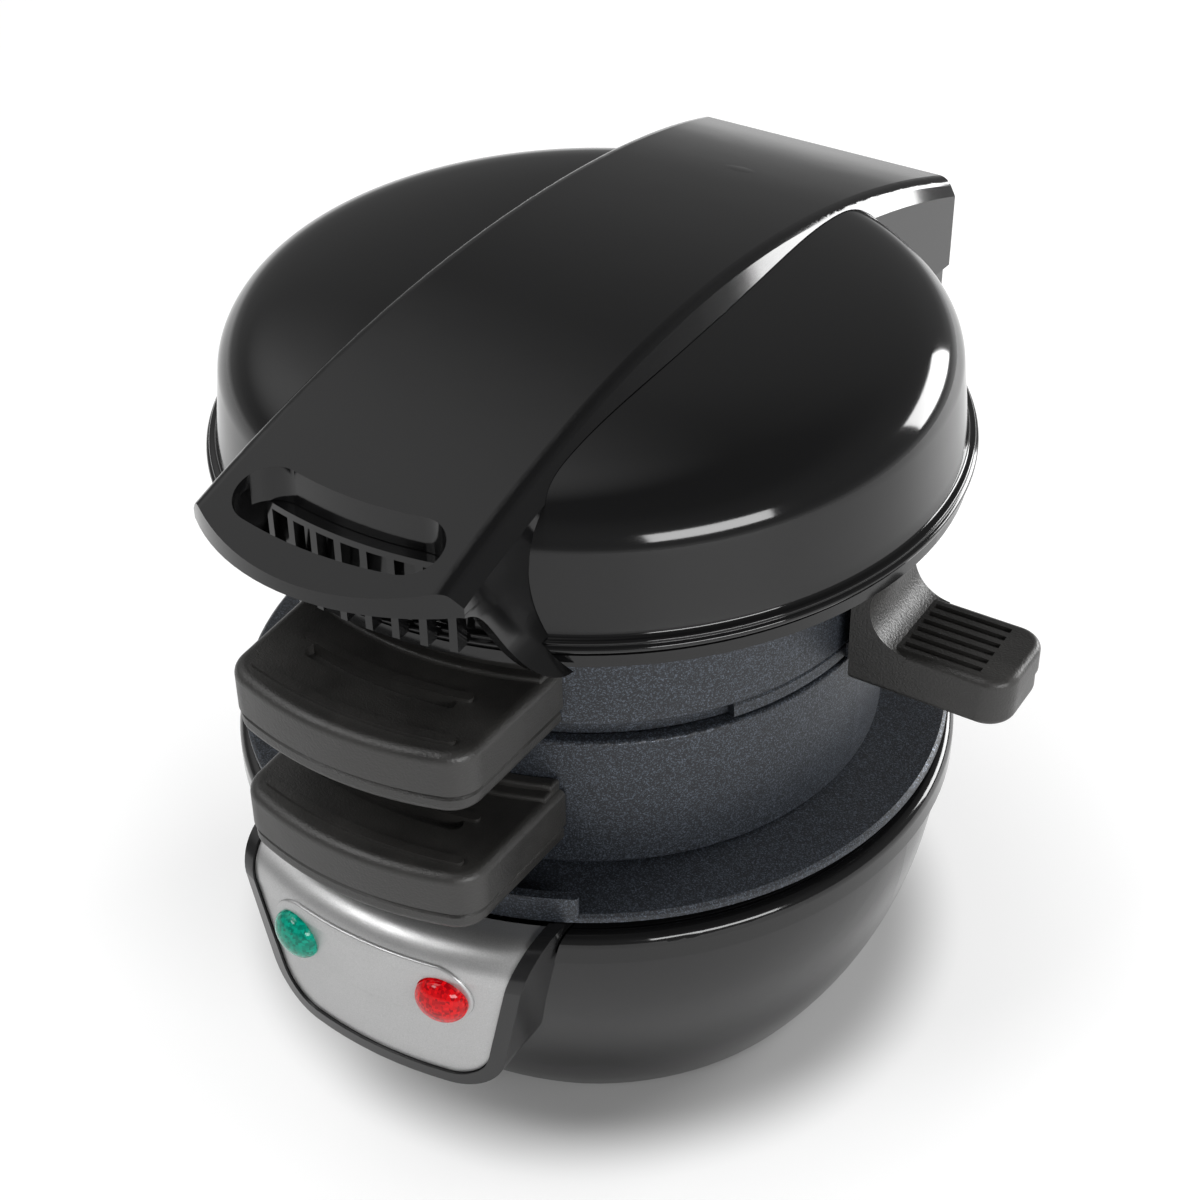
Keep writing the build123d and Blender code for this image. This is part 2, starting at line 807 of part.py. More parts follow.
def handle_top():
    """Upper half of a ring handle, with its parting face at z = 0."""
    height = handle_top_thickness
    body = extrude(handle_outline(0), amount=height)
    body = fillet(body.faces().sort_by(Axis.Z)[-1].edges(), handle_edge_round)
    body = chamfer(body.faces().sort_by(Axis.Z)[0].edges(), handle_groove)
    body -= finger_recess()
    body += ridge(front_ridge_radius, 18.8, 0.5)
    body += ridge(finger_ridge_radius, 15.4, finger_recess_depth + 0.5)
    body += shoulder(shoulder_step_radius, shoulder_step_height)
    body += shoulder(shoulder_radius, shoulder_height)
    body -= post(ring_radius + seat_gap, -20, 40)
    pocket = Pos(0, -tongue_reach / 2, 0) * Box(
        2 * (tongue_half_width + part_gap), tongue_reach + 2 * part_gap, 2 * (tongue_thickness + part_gap)
    )
    body -= pocket
    for side in (-1, 1):
        body -= Pos(side * handle_screw_x, -handle_screw_y, 0) * screw_bore(6.6)
    return body


def ridge(radius, half_width, root):
    """Low curved ridge on the top face of a ring handle, rooted below that face."""
    angle = degrees(asin(half_width / radius))
    arc = CenterArc((0, 0), radius, FRONT - angle, 2 * angle)
    bar = extrude(SlotArc(arc, ridge_width), amount=ridge_height + root)
    return Pos(0, 0, handle_top_thickness - root) * bar


def shoulder(radius, height):
    """Raised step of a ring handle that follows the wall of the ring."""
    body = extrude(handle_outline(handle_edge_round / 2), amount=handle_top_thickness + height)
    body &= post(radius, 1, 50)
    return fillet(body.faces().sort_by(Axis.Z)[-1].edges(), shoulder_step_height * 0.8)


def finger_recess():
    """Deep curved pocket in front of the middle ridge."""
    radius = finger_ridge_radius + finger_recess_width / 2
    arc = CenterArc((0, 0), radius, FRONT - 11, 22)
    pocket = extrude(SlotArc(arc, finger_recess_width), amount=finger_recess_depth + 5)
    return Pos(0, 0, handle_top_thickness - finger_recess_depth) * pocket


def handle_base():
    """Lower half of a ring handle, with its parting face at z = 0."""
    body = extrude(handle_outline(0.3), amount=handle_base_thickness - part_gap)
    body = Pos(0, 0, -handle_base_thickness) * body
    body = chamfer(body.faces().sort_by(Axis.Z)[-1].edges(), handle_groove)
    body = fillet(body.faces().sort_by(Axis.Z)[0].edges(), 1.3)
    body -= post(ring_radius + seat_gap, -20, 40)
    for side in (-1, 1):
        place = Pos(side * handle_screw_x, -handle_screw_y, 0)
        body -= place * post(screw_radius + 0.2, -20, 20)
        body -= place * post(screw_head_radius + 0.3, -20, -1.3)
    return body


def handle_screws():
    """The two screws of a ring handle, entered from below."""
    place = Pos(0, -handle_screw_y, -1.3 - part_gap)
    return [Pos(side * handle_screw_x, 0, 0) * place * screw(7.2) for side in (-1, 1)]


# ---- Cooking plate ----


def cooking_plate():
    """Round plate between the rings, with a side tongue and a rear pivot eye."""
    bottom = cooking_plate_bottom
    top = cooking_plate_top
    plate = post(cooking_plate_radius, bottom, top)
    plate = chamfer(plate.edges(), 0.4)
    plate -= sector(
        cooking_plate_radius - cooking_plate_recess,
        cooking_plate_radius + 5,
        recess_half_angle,
        bottom - 1,
        top + 1,
    )
    plate += block((45, side_tongue_reach), (-side_tongue_half_width, side_tongue_half_width), (bottom, top))
    plate += block((-eye_radius, eye_radius), (45, pivot_y), (bottom, top))
    plate += post(eye_radius, bottom, top, 0, pivot_y)
    plate -= post(pivot_radius + pin_gap, 0, 200, 0, pivot_y)
    return plate - post(screw_radius + 0.2, 0, 200, side_screw_x)


def side_handle_outline(inset):
    """Plan of the cooking plate handle, as (x, y)."""
    half = side_handle_half_width - inset
    reach = side_handle_reach - inset
    nose = 5.0
    face = make_face(
        Polyline((side_handle_root, -half), (reach, -half), (reach, half), (side_handle_root, half), close=True)
    )
    return fillet(face.vertices().sort_by(Axis.X)[-2:], nose)


def plate_handle_top():
    """Upper half of the cooking plate handle, with the heat guard and the grip grooves."""
    bottom = cooking_plate_top
    body = extrude(side_handle_outline(0), amount=side_handle_top)
    body = fillet(body.faces().sort_by(Axis.Z)[-1].edges(), side_handle_round)
    root = side_handle_root
    sweep_start = (root + guard_thickness + guard_sweep - 4, side_handle_top - 0.5)
    guard_tip = (root + guard_thickness, guard_height)
    curve = TangentArc(sweep_start, guard_tip, tangent=(-1, 0.05))
    rest = Polyline(guard_tip, (root, guard_height), (root, 0.5), (sweep_start[0], 0.5), sweep_start)
    guard = front_bar(make_face([curve, rest]), -side_handle_half_width, side_handle_half_width)
    body += guard
    for step in range(groove_count):
        y = (step - (groove_count - 1) / 2) * groove_pitch
        body -= block(
            (groove_start, groove_start + groove_length),
            (y - groove_width / 2, y + groove_width / 2),
            (side_handle_top - groove_depth, side_handle_top + 1),
        )
    body -= Pos(side_screw_x, 0, 0) * screw_bore(side_handle_top - 1.6)
    return Pos(0, 0, bottom + part_gap / 2) * body


def plate_handle_base():
    """Lower half of the cooking plate handle, pocketed for the tongue of the plate."""
    height = side_handle_bottom
    body = extrude(side_handle_outline(0.3), amount=height)
    body = fillet(body.faces().sort_by(Axis.Z)[0].edges(), side_handle_round)
    pocket_floor = height - cooking_plate_thickness - part_gap
    half = side_tongue_half_width + part_gap
    body -= block((0, side_tongue_reach + part_gap), (-half, half), (pocket_floor, height + 1))
    body -= post(screw_radius + 0.2, -1, 20, side_screw_x)
    return Pos(0, 0, cooking_plate_top - height - part_gap / 2) * body


def plate_handle_screw():
    """Screw of the cooking plate handle, entered from below."""
    start = cooking_plate_top - side_handle_bottom - part_gap
    return Pos(side_screw_x, 0, start) * screw(side_handle_bottom + 3)


# ---- Lid ----


def dome_face(shrink):
    """Half section of the dome, as (radius, height), made smaller by a wall."""
    crown = (0, dome_top - shrink)
    shoulder = (dome_shoulder_radius - shrink, flange_top + 13.5)
    foot = (dome_base_radius - shrink, flange_top)
    curve = Spline(
        crown,
        (30, dome_top - 0.4 - shrink),
        (50, dome_top - 2.1 - shrink),
        (59 - 0.5 * shrink, dome_top - 5.2 - 0.9 * shrink),
        shoulder,
        tangents=((1, 0), (0.12, -1)),
    )
    rest = Polyline(shoulder, foot, (foot[0], flange_bottom), (0, flange_bottom), crown)
    return [curve, rest]


def lid_dome():
    """Glossy lid cover with a rounded flange and screw bosses inside."""
    flange = post(flange_radius, flange_bottom, flange_top) - post(flange_radius - 4, 0, 200)
    flange = fillet(flange.edges().filter_by(GeomType.CIRCLE).group_by(SortBy.RADIUS)[-1], 0.9)
    cover = turned_edges(dome_face(0)) + flange
    cover -= turned_edges(dome_face(dome_wall))
    cover -= post(dome_base_radius - dome_wall, flange_bottom - 1, flange_bottom + 1)
    for angle in quarter_angles():
        boss = post(3.6, flange_bottom + 1.5, flange_top + 14, lid_screw_circle)
        cover += spun(boss, angle) & turned_edges(dome_face(dome_wall / 2))
        cover -= spun(post(screw_radius + thread_gap, 0, flange_top + 8, lid_screw_circle), angle)
    return cover - strap_skin(part_gap)


def lid_liner():
    """Underside ring of the lid, with the light band that closes on the upper ring."""
    band = turned(
        (lip_radius - 2, lid_bottom),
        (lip_radius, lid_bottom),
        (lip_radius, lip_top),
        (lip_radius - lip_groove_depth, lip_top),
        (lip_radius - lip_groove_depth, flange_bottom - 0.05),
        (lip_radius - 2, flange_bottom - 0.05),
    )
    liner = band + post(lip_radius - 1, lid_bottom, lid_bottom + 2)
    for angle in quarter_angles():
        liner += spun(post(4.2, lid_bottom, flange_bottom + 1.3, lid_screw_circle), angle)
    liner &= post(lip_radius, 0, 200) - (
        post(100, flange_bottom, 200) - post(dome_base_radius - dome_wall - part_gap, 0, 200)
    )
    liner -= post(upper_plate_radius + 1, 0, 200)
    for angle in quarter_angles():
        liner -= spun(post(screw_radius + 0.2, 0, 200, lid_screw_circle), angle)
        liner -= spun(post(screw_head_radius + 0.3, 0, lid_bottom + 1.9, lid_screw_circle), angle)
    return liner


def upper_heat_plate():
    """Cast pan that presses down inside the upper ring."""
    rest = lid_bottom + 2 + part_gap
    bottom = lid_bottom - upper_plate_drop
    outer = upper_plate_radius
    inner = outer - upper_plate_thickness
    return turned(
        (0, bottom),
        (outer - 0.8, bottom),
        (outer, bottom + 0.8),
        (outer, rest),
        (outer + 5, rest),
        (outer + 5, rest + 1.5),
        (inner, rest + 1.5),
        (inner, bottom + upper_plate_thickness),
        (0, bottom + upper_plate_thickness),
    )


def upper_floor():
    """Height of the floor of the upper heating plate."""
    return lid_bottom - upper_plate_drop + upper_plate_thickness


def upper_element():
    """Sheathed heater on the floor of the upper plate, ends turned up."""
    height = upper_floor() + element_radius + 0.1
    return heating_element(upper_element_circle, height, 1)


def upper_reflector():
    """Pressed cover over the upper element."""
    bottom = lid_bottom + 2 + part_gap + 1.5 + part_gap
    outer = upper_plate_radius + 4
    cover = post(outer, bottom, bottom + 0.8) - post(outer - 4, 0, bottom + 10)
    cover += post(outer - 4, bottom, bottom + 4) - post(outer - 4.8, 0, bottom + 3.2)
    for side in (-1, 1):
        x = side * upper_element_circle * 0.28
        cover -= post(4, 0, 200, x, sqrt(upper_element_circle**2 - x**2))
    return cover


def upper_thermal_fuse():
    """Thermal cut-out on the floor of the upper plate."""
    return thermal_fuse(Pos(14, 0, upper_floor() + 1.9 + 0.1))


def lid_screws():
    """Four screws that hold the liner to the dome."""
    start = lid_bottom + 1.9 - part_gap
    return pattern_of_screws(lid_screw_circle, start, 8, quarter_angles())


# ---- Strap handle ----


def strap_height(y):
    """Height of the top face of the strap along its length."""
    return strap_top - strap_arc_radius + sqrt(strap_arc_radius**2 - (y - strap_arc_centre_y) ** 2)


def strap_section(y, wall):
    """Cross-section of the strap at one place along its length, less a wall."""
    share = (y / hinge_y) ** 2
    top_half = strap_half_top + share * (strap_rear_spread if y > 0 else strap_front_spread)
    side_half = strap_half_side + share * (strap_rear_side_spread if y > 0 else 0.0)
    top = strap_height(y) - wall
    shoulder = top - strap_shoulder_drop
    top_half -= 0.6 * wall
    side_half -= wall
    outline = Polyline(
        (-side_half, lid_bottom - 20),
        (side_half, lid_bottom - 20),
        (side_half, shoulder),
        (top_half, top),
        (-top_half, top),
        (-side_half, shoulder),
        close=True,
    )
    return Pos(0, y, 0) * (Plane.XZ * make_face(outline))


def strap_beam(wall):
    """Long solid of the strap, from front to rear."""
    stations = (-92, -60, -30, 0, 30, 60, 90)
    return loft([strap_section(y, wall) for y in stations])


def flare_solid(wall):
    """Skirt that spreads from the strap down to the lip of the lid."""
    top = lid_bottom + flare_top
    high = strap_half_side - wall
    low = strap_half_side + flare_width - wall
    middle = (high + 0.27 * flare_width, lid_bottom + 0.4 * flare_top)
    edges = [ThreePointArc((high, top), middle, (low, lid_bottom))]
    edges += [ThreePointArc((-high, top), (-middle[0], middle[1]), (-low, lid_bottom))]
    floor = lid_bottom - wall
    edges += [Line((high, top), (-high, top))]
    edges += [Polyline((low, lid_bottom), (low, floor - 1), (-low, floor - 1), (-low, lid_bottom))]
    return front_bar(make_face(edges), -swoop_start_y - 3, -50 - wall)


def strap_side_outline():
    """Side outline that bounds the strap, as (y, z): tip, swoop, lid and rear hood."""
    tip = strap_top - strap_tip_lower
    end = (-swoop_end_y, lid_bottom)
    start = (-swoop_start_y, tip)
    middle = (-swoop_middle_y, lid_bottom + swoop_middle_rise)
    swoop = Spline(start, middle, end, tangents=((1, -0.3), (1, 0)))
    high = strap_top + 5
    front = strap_front + 5
    rear = tower_rear + 5
    rest = Polyline(end, (rear, lid_bottom), (rear, high), (-front, high), (-front, tip), start)
    return make_face([swoop, rest])


def strap_tip(wall):
    """Rounded plan of the front tip, carried up and down."""
    half = strap_half_top + strap_front_spread
    depth = strap_front - strap_tip_corner_y
    radius = (half**2 + depth**2) / (2 * depth)
    nose = post(radius - wall, 0, 200, 0, radius - strap_front)
    return nose + block((-60, 60), (-strap_tip_corner_y + 6, 120), (0, 200))


def rear_limit(wall):
    """Rear face of the strap hood, and the opening below it that clears the hinge."""
    return block((-60, 60), (-120, tower_rear - wall), (0, 200))


def strap_body(wall):
    """Body of the strap before its lower edge is cut, or its cavity when a wall is given."""
    body = strap_beam(wall) + flare_solid(wall)
    return body & strap_tip(wall) & rear_limit(wall)


def rounded_beam():
    """Long solid of the strap with its upper edges rounded."""
    beam = strap_beam(0)
    top = beam.faces().sort_by(Axis.Z)[-1]
    long_edges = top.edges().filter_by(lambda edge: abs(edge.center().X) > strap_half_top / 2)
    return fillet(long_edges, strap_edge_round)


def rounded_strap():
    """Outer body of the strap with its upper edges and its front edge rounded."""
    body = rounded_beam() & strap_tip(0) & rear_limit(0)
    body += flare_solid(0) & strap_tip(0)
    return body


def strap_skin(margin):
    """Top skin of the strap where it passes close over the dome, let into the dome."""
    front, middle, rear = (-55, strap_arc_centre_y, dome_base_radius - 4)
    depth = strap_skin_depth + margin
    rise = strap_rise
    arc = ThreePointArc(*[(y, strap_height(y) + rise) for y in (front, middle, rear)])
    under = ThreePointArc(*[(y, strap_height(y) - depth) for y in (front, middle, rear)])
    ends = [Line(arc @ 0, under @ 0), Line(arc @ 1, under @ 1)]
    half = strap_half_top - 1 + margin
    return side_bar(make_face([arc, under] + ends), -half, half)


def slot_collar():
    """Rim of the vent slot, from the top of the strap down to the grille."""
    bottom = strap_height(-slot_radius) - slot_collar_depth
    front_half = block((-60, 60), (-100, -50), (bottom, 200))
    return vent_slot(slot_width + 2 * slot_collar_wall) & front_half


def strap_hollow():
    """Space under the strap: its inner shell and the room for the dome, less skin and collar."""
    hollow = strap_body(strap_wall) + turned_edges(dome_envelope())
    return hollow - strap_skin(0) - slot_collar()


def lid_strap():
    """Strap handle: top skin, flared front hood and rear hinge arms."""
    strap = rounded_strap() & side_bar(strap_side_outline(), -60, 60)
    strap -= strap_hollow()
    strap -= vent_slot(slot_width)
    hood_low = hinge_z + 23.0
    strap -= block((-tower_half_width - 0.5, tower_half_width + 0.5), (tower_front - 8, 120), (0, hood_low))
    inner = tower_half_width + knuckle_gap
    outer = inner + lid_arm_width
    arm = make_face(
        Polyline(
            (hinge_y - lid_knuckle_radius, hinge_z),
            (hinge_y + lid_knuckle_radius, hinge_z),
            (hinge_y + lid_knuckle_radius, hood_low),
            (hinge_y - lid_knuckle_radius - 5, hood_low),
            (hinge_y - lid_knuckle_radius - 5, hinge_z + 10),
            close=True,
        )
    )
    for side in (-1, 1):
        low, high = sorted((side * inner, side * outer))
        strap += side_bar(arm, low, high) & strap_beam(0)
        strap += knuckle(low, high, lid_knuckle_radius)
    return strap - pin_bore()


def dome_envelope():
    """Half section of the space that the lid cover and its liner take, with a small margin."""
    crown = (0, dome_top + part_gap)
    shoulder = (dome_shoulder_radius + part_gap, flange_top + 13.5)
    curve = Spline(
        crown,
        (30, dome_top - 0.4 + part_gap),
        (50, dome_top - 2.1 + part_gap),
        (59 + 0.5 * part_gap, dome_top - 5.2 + 0.9 * part_gap),
        shoulder,
        tangents=((1, 0), (0.12, -1)),
    )
    rest = Polyline(
        shoulder,
        (dome_base_radius + part_gap, flange_top + part_gap),
        (flange_radius + part_gap, flange_top + part_gap),
        (flange_radius + part_gap, lid_bottom - 5),
        (0, lid_bottom - 5),
        crown,
    )
    return [curve, rest]


def vent_slot(width):
    """Curved slot through the front of the strap."""
    angle = degrees(asin((slot_half_length - width / 2) / slot_radius))
    arc = CenterArc((0, 0), slot_radius, FRONT - angle, 2 * angle)
    return Pos(0, 0, 125) * extrude(SlotArc(arc, width), amount=40)


def handle_grille():
    """Comb of upright ribs that hangs below the collar of the vent slot."""
    inner = flange_radius + 2 * part_gap
    outer = inner + rib_depth
    low = flange_bottom + 0.5
    high = strap_height(-slot_radius) - slot_collar_depth - part_gap
    bar_low = high - rib_bar_height
    half_angle = degrees(asin((strap_half_top - strap_wall) / outer))
    comb = sector(inner, outer, half_angle, bar_low, high)
    ribs_between = post(outer, 0, 200) - post(inner, 0, 200)
    for step in range(rib_count):
        x = (step - (rib_count - 1) / 2) * rib_pitch
        rib = block((x - rib_thickness / 2, x + rib_thickness / 2), (-outer, -50), (low, bar_low + 0.5))
        comb += rib & ribs_between
    return comb


# ---- Export ----


pieces = {
    "base_shell": base_shell(),
    "base_rim": base_rim(),
    "control_panel": control_panel(),
    "preheat_lens": lens(-1),
    "power_lens": lens(1),
    "indicator_lamps": indicator_lamps(),
    "lower_heat_plate": lower_heat_plate(),
    "lower_element": lower_element(),
    "thermostat": thermostat(),
    "lower_thermal_fuse": lower_thermal_fuse(),
    "lower_reflector": lower_reflector(),
    "terminal_block": terminal_block(),
    "bottom_cover": bottom_cover(),
    "cover_screws": cover_screws(),
    "plate_screws": plate_screws(),
    "rubber_feet": rubber_feet(),
    "hinge_pin": hinge_pin(),
    "lower_ring": lower_ring(),
    "upper_ring": upper_ring(),
    "plate_pivot_pin": plate_pivot_pin(),
    "cooking_plate": cooking_plate(),
    "plate_handle_top": plate_handle_top(),
    "plate_handle_base": plate_handle_base(),
    "plate_handle_screw": plate_handle_screw(),
    "lid_dome": lid_dome(),
    "lid_liner": lid_liner(),
    "lid_strap": lid_strap(),
    "handle_grille": handle_grille(),
    "upper_heat_plate": upper_heat_plate(),
    "upper_element": upper_element(),
    "upper_reflector": upper_reflector(),
    "upper_thermal_fuse": upper_thermal_fuse(),
    "lid_screws": lid_screws(),
}

lower_parting = lower_ring_bottom + lower_handle_parting
for name, parting in (("lower", lower_parting), ("upper", lower_parting + handle_pitch)):
    level = Pos(0, 0, parting)
    pieces[name + "_handle_top"] = level * handle_top()
    pieces[name + "_handle_base"] = level * handle_base()
    pieces[name + "_handle_screws"] = [level * part for part in handle_screws()]

# The frame's origin is the middle of the footprint of the whole object.
rim_reach = bowl_radius + rim_lip
shift = Pos((rim_reach - side_handle_reach) / 2, (strap_front - tower_rear) / 2, 0)

os.makedirs("parts", exist_ok=True)
for name, shape in pieces.items():
    solids = shape if isinstance(shape, list) else [shape]
    placed = [shift * solid for part in solids for solid in part.solids()]
    whole = placed[0] if len(placed) == 1 else Compound(children=placed)
    export_step(whole, "parts/" + name + ".step")
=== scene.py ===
import json
import math

import bmesh
import bpy
from mathutils import Matrix, Vector


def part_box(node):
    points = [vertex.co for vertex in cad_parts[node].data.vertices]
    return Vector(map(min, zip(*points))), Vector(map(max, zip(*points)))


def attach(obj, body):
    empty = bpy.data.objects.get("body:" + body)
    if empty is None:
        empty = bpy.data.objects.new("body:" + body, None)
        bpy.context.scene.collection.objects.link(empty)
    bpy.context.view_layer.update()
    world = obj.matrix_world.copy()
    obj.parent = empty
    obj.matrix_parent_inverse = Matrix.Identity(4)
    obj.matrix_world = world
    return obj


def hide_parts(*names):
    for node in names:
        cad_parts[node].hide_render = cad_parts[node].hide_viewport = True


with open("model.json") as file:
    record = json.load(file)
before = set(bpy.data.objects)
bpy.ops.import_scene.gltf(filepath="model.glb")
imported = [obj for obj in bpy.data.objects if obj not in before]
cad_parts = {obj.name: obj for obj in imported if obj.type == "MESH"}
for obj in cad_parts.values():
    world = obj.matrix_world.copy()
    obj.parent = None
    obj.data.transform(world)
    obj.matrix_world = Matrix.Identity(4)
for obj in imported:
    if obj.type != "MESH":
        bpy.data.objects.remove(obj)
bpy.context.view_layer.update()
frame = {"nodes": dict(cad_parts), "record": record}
nodes = frame["nodes"]
MM = 0.001

# Compass directions in degrees: 0 is the rear, 90 the right, 180 the front.
FRONT = 180.0

# Camera: place from the ring axis on the table and directions, fitted on the photograph's circles.
CAMERA_PLACE = Vector((183.24, -293.24, 336.92)) * MM
CAMERA_RIGHT = Vector((0.85358, 0.52086, -0.01054))
CAMERA_UP = Vector((-0.30708, 0.51938, 0.79747))
CAMERA_AHEAD = Vector((-0.42084, 0.67746, -0.60327))
CAMERA_LENS = 70.28
CAMERA_SENSOR = 36.0

# Lid cover, in mm: the outline's radius and how far it lies below the top, down to the shoulder.
DOME_TOP_OUTLINE = ((0, 0), (30, 0.4), (50, 2.1), (59, 5.2))
DOME_WALL_RADIUS = 63.4
DOME_WALL_HEIGHT = 15.6
DOME_WALL = 2.2
# Wall and rolled double flange, in mm: radius and height above the cover's lower edge.
DOME_FOOT = ((64.1, 9.5), (64.75, 4.5), (65.05, 2.6), (65.2, 2.25), (65.5, 2.05), (65.95, 2.0),
             (66.22, 1.9), (66.35, 1.7), (66.33, 1.5), (66.25, 1.36), (66.4, 1.22), (66.68, 1.08),
             (66.85, 0.85), (66.88, 0.55), (66.8, 0.25), (66.6, 0.05), (66.4, 0.0), (63.0, 0.0),
             (62.9, 0.05), (62.85, 2.0))
DOME_SEGMENTS = 288

# Lenses, in mm and degrees: one on each side of the front, tilted as the panel leans.
LENS_SPREAD = 10.8
LENS_TILT = -4.6
LENS_RADIUS = 4.8
LENS_DEPTH = 3.0
LENS_STRAIGHT = 0.3
LENS_CROWN = 3.0
LENS_BACK_INSET = 0.4
LENS_DRAFT = 0.05
# Panel face from the ring axis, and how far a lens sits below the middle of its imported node.
LENS_FACE = 75.9
LENS_DROP = 0.6
LENS_SEGMENTS = 64

# Floor, in metres: from one distance to the next from the ring axis, the glow grows by a share; held
# low near the object, it leaves a painted shade there around the real shadow.
FLOOR_RADIUS = 0.9
FLOOR_TONE = 0.50
FLOOR_GLOW_PAINTED_SHADE_EDGE = (0.057, 0.075, 0.50)
FLOOR_GLOW_PAINTED_SHADE_FADE = (0.070, 0.130, 0.10)

# World: tones by the upward part of a direction, then one soft light high on the left with the
# angles from its middle, in degrees, where it ends and where it is full.
WORLD_LOWEST = -0.2
WORLD_TONES = ((-0.12, 1.0), (-0.02, 0.40), (0.14, 0.26), (0.36, 0.27), (0.62, 0.22),
               (0.80, 0.12), (1.0, 0.10))
SOFT_LIGHT_WAY = (-88, 55)
SOFT_LIGHT_EDGE = 42
SOFT_LIGHT_CORE = 8
SOFT_LIGHT_TONE = 0.9
LAMP_AIM_HEIGHT = 0.10


# ---- Places ----

def ring_axis():
    """Where the upright axis of the rings stands."""
    low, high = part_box("lower_heat_plate")
    return (low[0] + high[0]) / 2, (low[1] + high[1]) / 2


def heading(azimuth, elevation):
    """Unit vector towards a compass direction."""
    a, e = math.radians(azimuth), math.radians(elevation)
    return Vector((math.sin(a) * math.cos(e), math.cos(a) * math.cos(e), math.sin(e)))


def make_camera():
    """Camera at the photograph's viewing angle."""
    data = bpy.data.cameras.new("camera")
    data.lens = CAMERA_LENS
    data.sensor_width = CAMERA_SENSOR
    data.clip_start = 0.02
    data.clip_end = 20.0
    camera = bpy.data.objects.new("camera", data)
    place = Matrix((CAMERA_RIGHT, CAMERA_UP, -CAMERA_AHEAD)).transposed().to_4x4()
    place.translation = Vector((*ring_axis(), 0)) + CAMERA_PLACE
    camera.matrix_world = place
    bpy.context.scene.collection.objects.link(camera)
    bpy.context.scene.camera = camera


# ---- Node helpers ----

class Nodes:
    """Short ways to add nodes to a tree."""

    def __init__(self, tree):
        self.tree = tree

    def feed(self, value, socket):
        """Links an output to a socket, or writes a plain value into it."""
        if isinstance(value, bpy.types.NodeSocket):
            self.tree.links.new(value, socket)
        else:
            socket.default_value = value

    def node(self, kind, **inputs):
        node = self.tree.nodes.new(kind)
        for key, value in inputs.items():
            self.feed(value, node.inputs[key.replace("_", " ")])
        return node

    def combine(self, kind, operation, *values):
        """Math or vector math node on its first inputs."""
        node = self.node(kind)
        node.operation = operation
        for value, socket in zip(values, node.inputs):
            self.feed(value, socket)
        return node

    def math(self, operation, first, second):
        return self.combine("ShaderNodeMath", operation, first, second).outputs[0]

    def ramp(self, value, *stops):
        """Colour ramp; a stop is a place and either a colour or a grey."""
        node = self.node("ShaderNodeValToRGB", Fac=value)
        elements = node.color_ramp.elements
        while len(elements) < len(stops):
            elements.new(0.5)
        for element, (place, colour) in zip(elements, stops):
            element.position = place
            element.color = (*(colour if isinstance(colour, tuple) else (colour,) * 3), 1.0)
        return node.outputs["Color"]

    def span(self, value, low, high, from_low=0.0, from_high=1.0, kind="LINEAR"):
        """Maps a value from one range to another and clamps it there."""
        node = self.node("ShaderNodeMapRange", Value=value, From_Min=from_low, From_Max=from_high,
                         To_Min=low, To_Max=high)
        node.interpolation_type = kind
        return node.outputs["Result"]


class Shade(Nodes):
    """A Principled material, textured in the object's own coordinates."""

    def __init__(self, name, **sockets):
        self.material = bpy.data.materials.new(name)
        self.material.use_nodes = True
        super().__init__(self.material.node_tree)
        self.bsdf = self.tree.nodes["Principled BSDF"]
        for key, value in sockets.items():
            self.set(key.replace("_", " "), value)
        self.coords = self.node("ShaderNodeTexCoord").outputs["Object"]

    def set(self, socket, value):
        """Gives an input of the surface a value, a colour or a link."""
        if isinstance(value, tuple):
            value = (*value, 1.0)[:4]
        self.feed(value, self.bsdf.inputs[socket])

    def noise(self, size, detail=3.0, roughness=0.5):
        """Soft clouds of a size."""
        node = self.node("ShaderNodeTexNoise", Vector=self.coords, Scale=1.0 / size,
                         Detail=detail, Roughness=roughness)
        return node.outputs["Fac"]

    def specks(self, size, randomness=1.0, distance="EUCLIDEAN"):
        """Cells of a size, with an even random number for each in every channel."""
        cell = self.node("ShaderNodeTexVoronoi", Vector=self.coords, Scale=1.0 / size,
                         Randomness=randomness)
        cell.distance = distance
        return self.node("ShaderNodeSeparateColor", Color=cell.outputs["Color"]).outputs

    def vary(self, value, low, high):
        """Spreads the middle of a noise over a range."""
        return self.span(value, low, high, 0.3, 0.7)

    def bump(self, height, depth, strength=1.0, under=None):
        node = self.node("ShaderNodeBump", Height=height, Distance=depth, Strength=strength)
        if under is not None:
            self.feed(under, node.inputs["Normal"])
        return node.outputs["Normal"]


def scaled(colour, share):
    """A darker or lighter shade of a colour."""
    return tuple(c * share for c in colour)


# ---- Materials ----

def gloss_black(name, tone=0.005, rough=(0.07, 0.12), peel=0.004 * MM, ior=1.42):
    """Injection-moulded glossy plastic: faint orange peel and a little variation in gloss."""
    s = Shade(name, Base_Color=(tone, tone, tone * 1.04), IOR=ior)
    s.set("Roughness", s.vary(s.noise(30 * MM, 4.0), *rough))
    s.set("Normal", s.bump(s.noise(6 * MM, 2.0), peel))
    return s.material


def matte_black(name, tone=0.012, rough=(0.36, 0.48)):
    """Heat-proof handle plastic with a fine spark-eroded grain, polished a little where held."""
    s = Shade(name, IOR=1.52)
    wear = s.noise(12 * MM, 5.0, 0.6)
    warm = (1.0, 0.96, 0.9)
    warm_worn = (1.7, 1.62, 1.5)
    s.set("Base Color", s.ramp(wear, (0.3, scaled(warm, tone)), (0.7, scaled(warm_worn, tone))))
    s.set("Roughness", s.vary(wear, *rough))
    grain = s.bump(s.noise(0.42 * MM, 2.0, 0.65), 0.11 * MM, 0.8)
    s.set("Normal", s.bump(s.noise(4 * MM, 2.0), 0.04 * MM, 0.5, grain))
    return s.material


